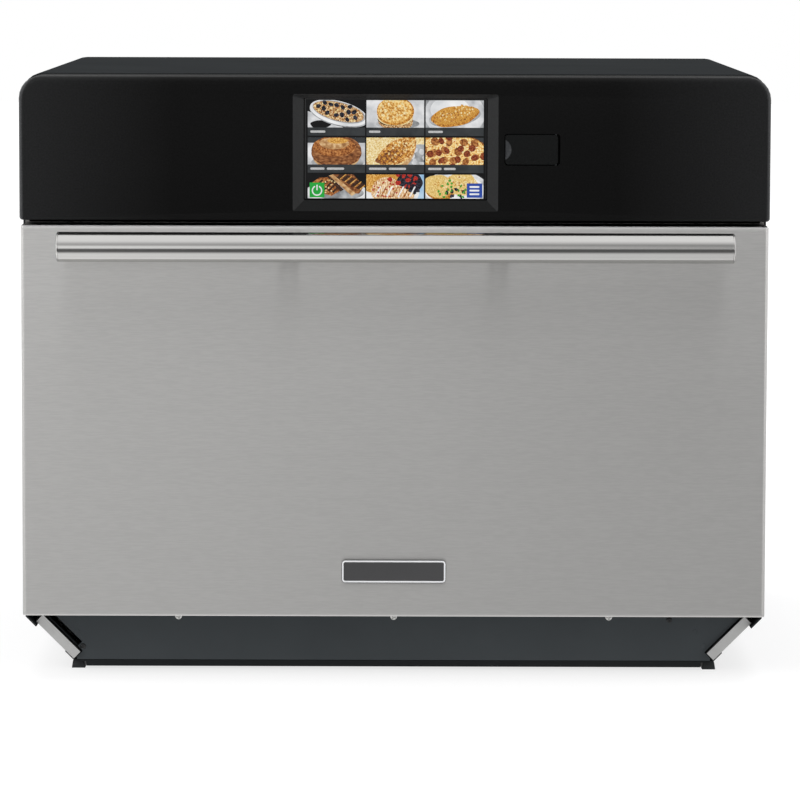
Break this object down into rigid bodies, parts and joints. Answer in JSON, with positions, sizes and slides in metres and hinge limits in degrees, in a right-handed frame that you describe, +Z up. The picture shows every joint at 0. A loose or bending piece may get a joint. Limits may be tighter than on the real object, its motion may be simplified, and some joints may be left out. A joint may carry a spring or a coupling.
{
  "type": "countertop speed oven",
  "caption": "Countertop speed oven with drop-down door, bar handle, touch-screen panel, USB flap and slide-out side air filters.",
  "frame": {"origin": "on the counter under the middle of the oven's box, handle included", "axes": "+X to the oven's right seen from the front, -Y to the front, +Z up"},
  "size_m": [0.641, 0.651, 0.521],
  "materials": {
    "painted_steel": "fine satin powder coat",
    "brushed_steel": "brushed along the width",
    "polished_steel": "bright",
    "cavity_steel": "bright rolled",
    "black_plastic": "satin moulded",
    "grey_plastic": "satin moulded",
    "screen_glass": "glossy touch screen, opaque",
    "lamp_glass": "ribbed lens",
    "filter_aluminium": "satin",
    "foot_rubber": "matt",
    "galvanized_steel": "galvanized",
    "winding_copper": "lacquered winding",
    "ceramic_plate": "unglazed ceramic",
    "mineral_fibre": "woven glass fibre",
    "heater_sheath": "oxidised sheath",
    "circuit_board": "solder mask"
  },
  "bodies": {
    "cabinet": {"outer_wrap": "painted_steel", "base_pan": "painted_steel", "chin_panel": "painted_steel", "front_frame": "cavity_steel", "rear_panel": "painted_steel", "cable_gland": "black_plastic", "foot_front_left": "foot_rubber", "foot_front_right": "foot_rubber", "foot_rear_left": "foot_rubber", "foot_rear_right": "foot_rubber", "filter_guide_left": "painted_steel", "filter_guide_right": "painted_steel", "cavity_liner": "cavity_steel", "cavity_insulation": "mineral_fibre", "cavity_lamp": "lamp_glass", "ceramic_floor": "ceramic_plate", "wire_rack": "polished_steel", "radiant_element": "heater_sheath", "fan_cover": "cavity_steel", "fan_plenum": "galvanized_steel", "fan_motor": "galvanized_steel", "waveguide": "galvanized_steel", "stirrer_motor": "galvanized_steel", "blower_housing": "galvanized_steel", "magnetron_left": "filter_aluminium", "magnetron_right": "filter_aluminium", "transformer_left": "winding_copper", "transformer_right": "winding_copper", "capacitor_left": "filter_aluminium", "capacitor_right": "filter_aluminium", "hinge_bracket_left": "galvanized_steel", "hinge_bracket_right": "galvanized_steel", "interlock_left": "grey_plastic", "interlock_right": "grey_plastic", "control_panel": "black_plastic", "touch_glass": "screen_glass", "display_module": "galvanized_steel", "usb_socket": "polished_steel", "control_board": "circuit_board"},
    "door": {"door_skin": "brushed_steel", "door_inner": "cavity_steel", "door_seal": "mineral_fibre", "door_insulation": "mineral_fibre", "nameplate": "grey_plastic", "handle_bar": "brushed_steel", "handle_cap_left": "brushed_steel", "handle_cap_right": "brushed_steel", "handle_post_left": "brushed_steel", "handle_post_right": "brushed_steel", "latch_hook_left": "polished_steel", "latch_hook_right": "polished_steel", "hinge_arm_left": "galvanized_steel", "hinge_arm_right": "galvanized_steel"},
    "usb_cover": {"usb_flap": "black_plastic"},
    "filter_left": {"air_filter_left": "filter_aluminium"},
    "filter_right": {"air_filter_right": "filter_aluminium"},
    "fan_wheel": {"convection_fan": "galvanized_steel"},
    "cooling_wheel": {"blower_wheel": "galvanized_steel"},
    "antenna": {"stirrer": "filter_aluminium"}
  },
  "joints": [
    {"name": "door_hinge", "type": "hinge", "parent": "cabinet", "child": "door", "pos_m": [0, -0.2485, 0.0815], "axis": [1, 0, 0], "range_deg": [0, 90], "stiffness_Nm_per_rad": 6, "springref_deg": -11.46},
    {"name": "usb_flap_hinge", "type": "hinge", "parent": "cabinet", "child": "usb_cover", "pos_m": [0.1372, -0.2668, 0.4579], "axis": [0, 0, 1], "range_deg": [0, 100]},
    {"name": "filter_left_slide", "type": "slide", "parent": "cabinet", "child": "filter_left", "axis": [0, -1, 0], "range_m": [0, 0.3]},
    {"name": "filter_right_slide", "type": "slide", "parent": "cabinet", "child": "filter_right", "axis": [0, -1, 0], "range_m": [0, 0.3]},
    {"name": "fan_spin", "type": "hinge", "parent": "cabinet", "child": "fan_wheel", "pos_m": [0, 0.18, 0.229], "axis": [0, 1, 0], "continuous": true},
    {"name": "blower_spin", "type": "hinge", "parent": "cabinet", "child": "cooling_wheel", "pos_m": [0, 0.238, 0.03], "axis": [0, 0, 1], "continuous": true},
    {"name": "antenna_spin", "type": "hinge", "parent": "cabinet", "child": "antenna", "pos_m": [0, -0.0297, 0.08], "axis": [0, 0, 1], "continuous": true}
  ]
}
